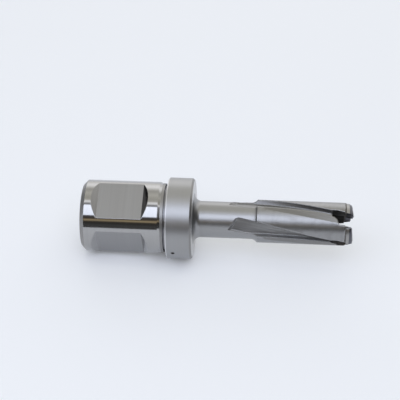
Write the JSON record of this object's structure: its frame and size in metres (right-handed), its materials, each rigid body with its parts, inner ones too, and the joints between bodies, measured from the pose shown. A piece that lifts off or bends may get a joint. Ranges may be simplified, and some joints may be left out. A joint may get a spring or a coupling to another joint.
{
  "type": "annular cutter",
  "caption": "Hollow fluted cutter with brazed carbide tips, a thinner neck, a collar and a clamping shank with two flats.",
  "frame": {"origin": "centre of the shank's end face, which the cutter stands on", "axes": "+Z along the axis from the shank's end to the cutting end; the two clamping flats face -X and -Y"},
  "size_m": [0.0216, 0.0216, 0.0715],
  "materials": {
    "tool_steel": "shank ground bright, flats milled, collar and neck satin, barrel ground",
    "carbide": "ground cemented carbide"
  },
  "bodies": {
    "root": {"cutter_body": "tool_steel", "carbide_tip_1": "carbide", "carbide_tip_2": "carbide", "carbide_tip_3": "carbide", "carbide_tip_4": "carbide"}
  },
  "joints": []
}
